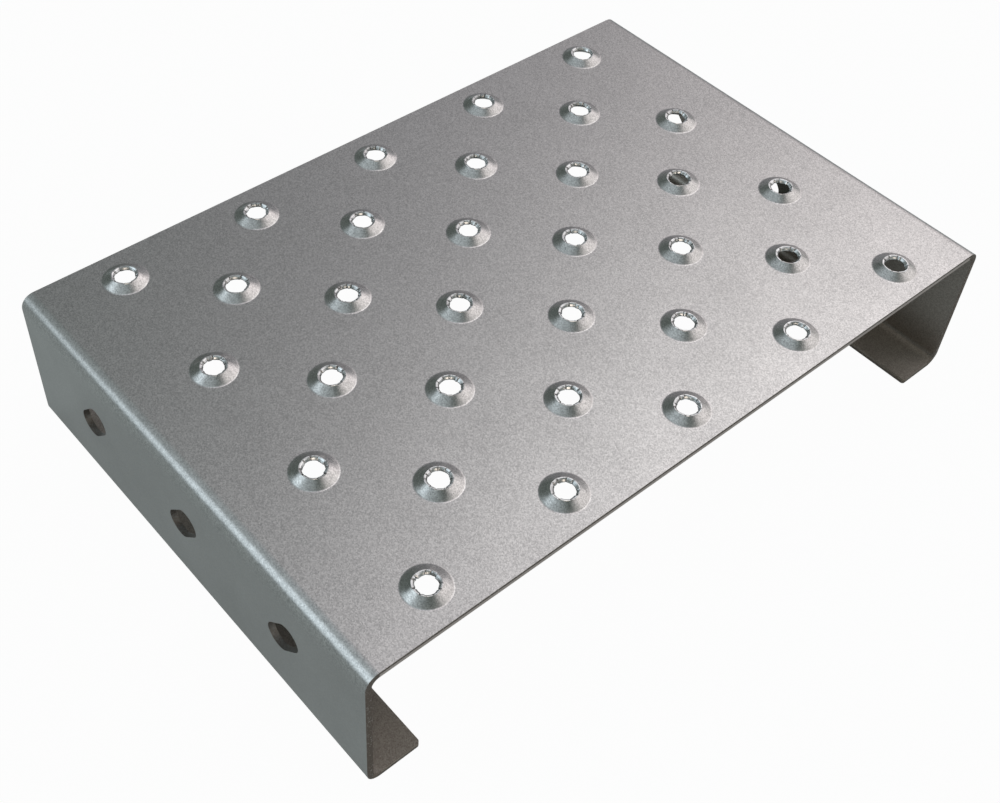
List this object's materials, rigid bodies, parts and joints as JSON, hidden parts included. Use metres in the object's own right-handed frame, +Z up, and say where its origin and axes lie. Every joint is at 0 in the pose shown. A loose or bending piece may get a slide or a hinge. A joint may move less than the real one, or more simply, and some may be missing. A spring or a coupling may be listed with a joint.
{
  "type": "metal floor panel",
  "caption": "Folded sheet-steel floor panel: flat deck with staggered rows of raised, pierced grip holes, side flanges with slanted bolt slots and inturned lips.",
  "frame": {"origin": "on the floor, under the middle of the panel", "axes": "+X across the flanges, from the left one to the right one; +Y along the bends, from the near cut end to the far one; +Z up, out of the deck"},
  "size_m": [0.25, 0.168, 0.0538],
  "materials": {
    "galvanised_sheet": "satin, fine-grained galvanised surface with bare cut edges"
  },
  "bodies": {
    "root": {"floor_panel": "galvanised_sheet"}
  },
  "joints": []
}
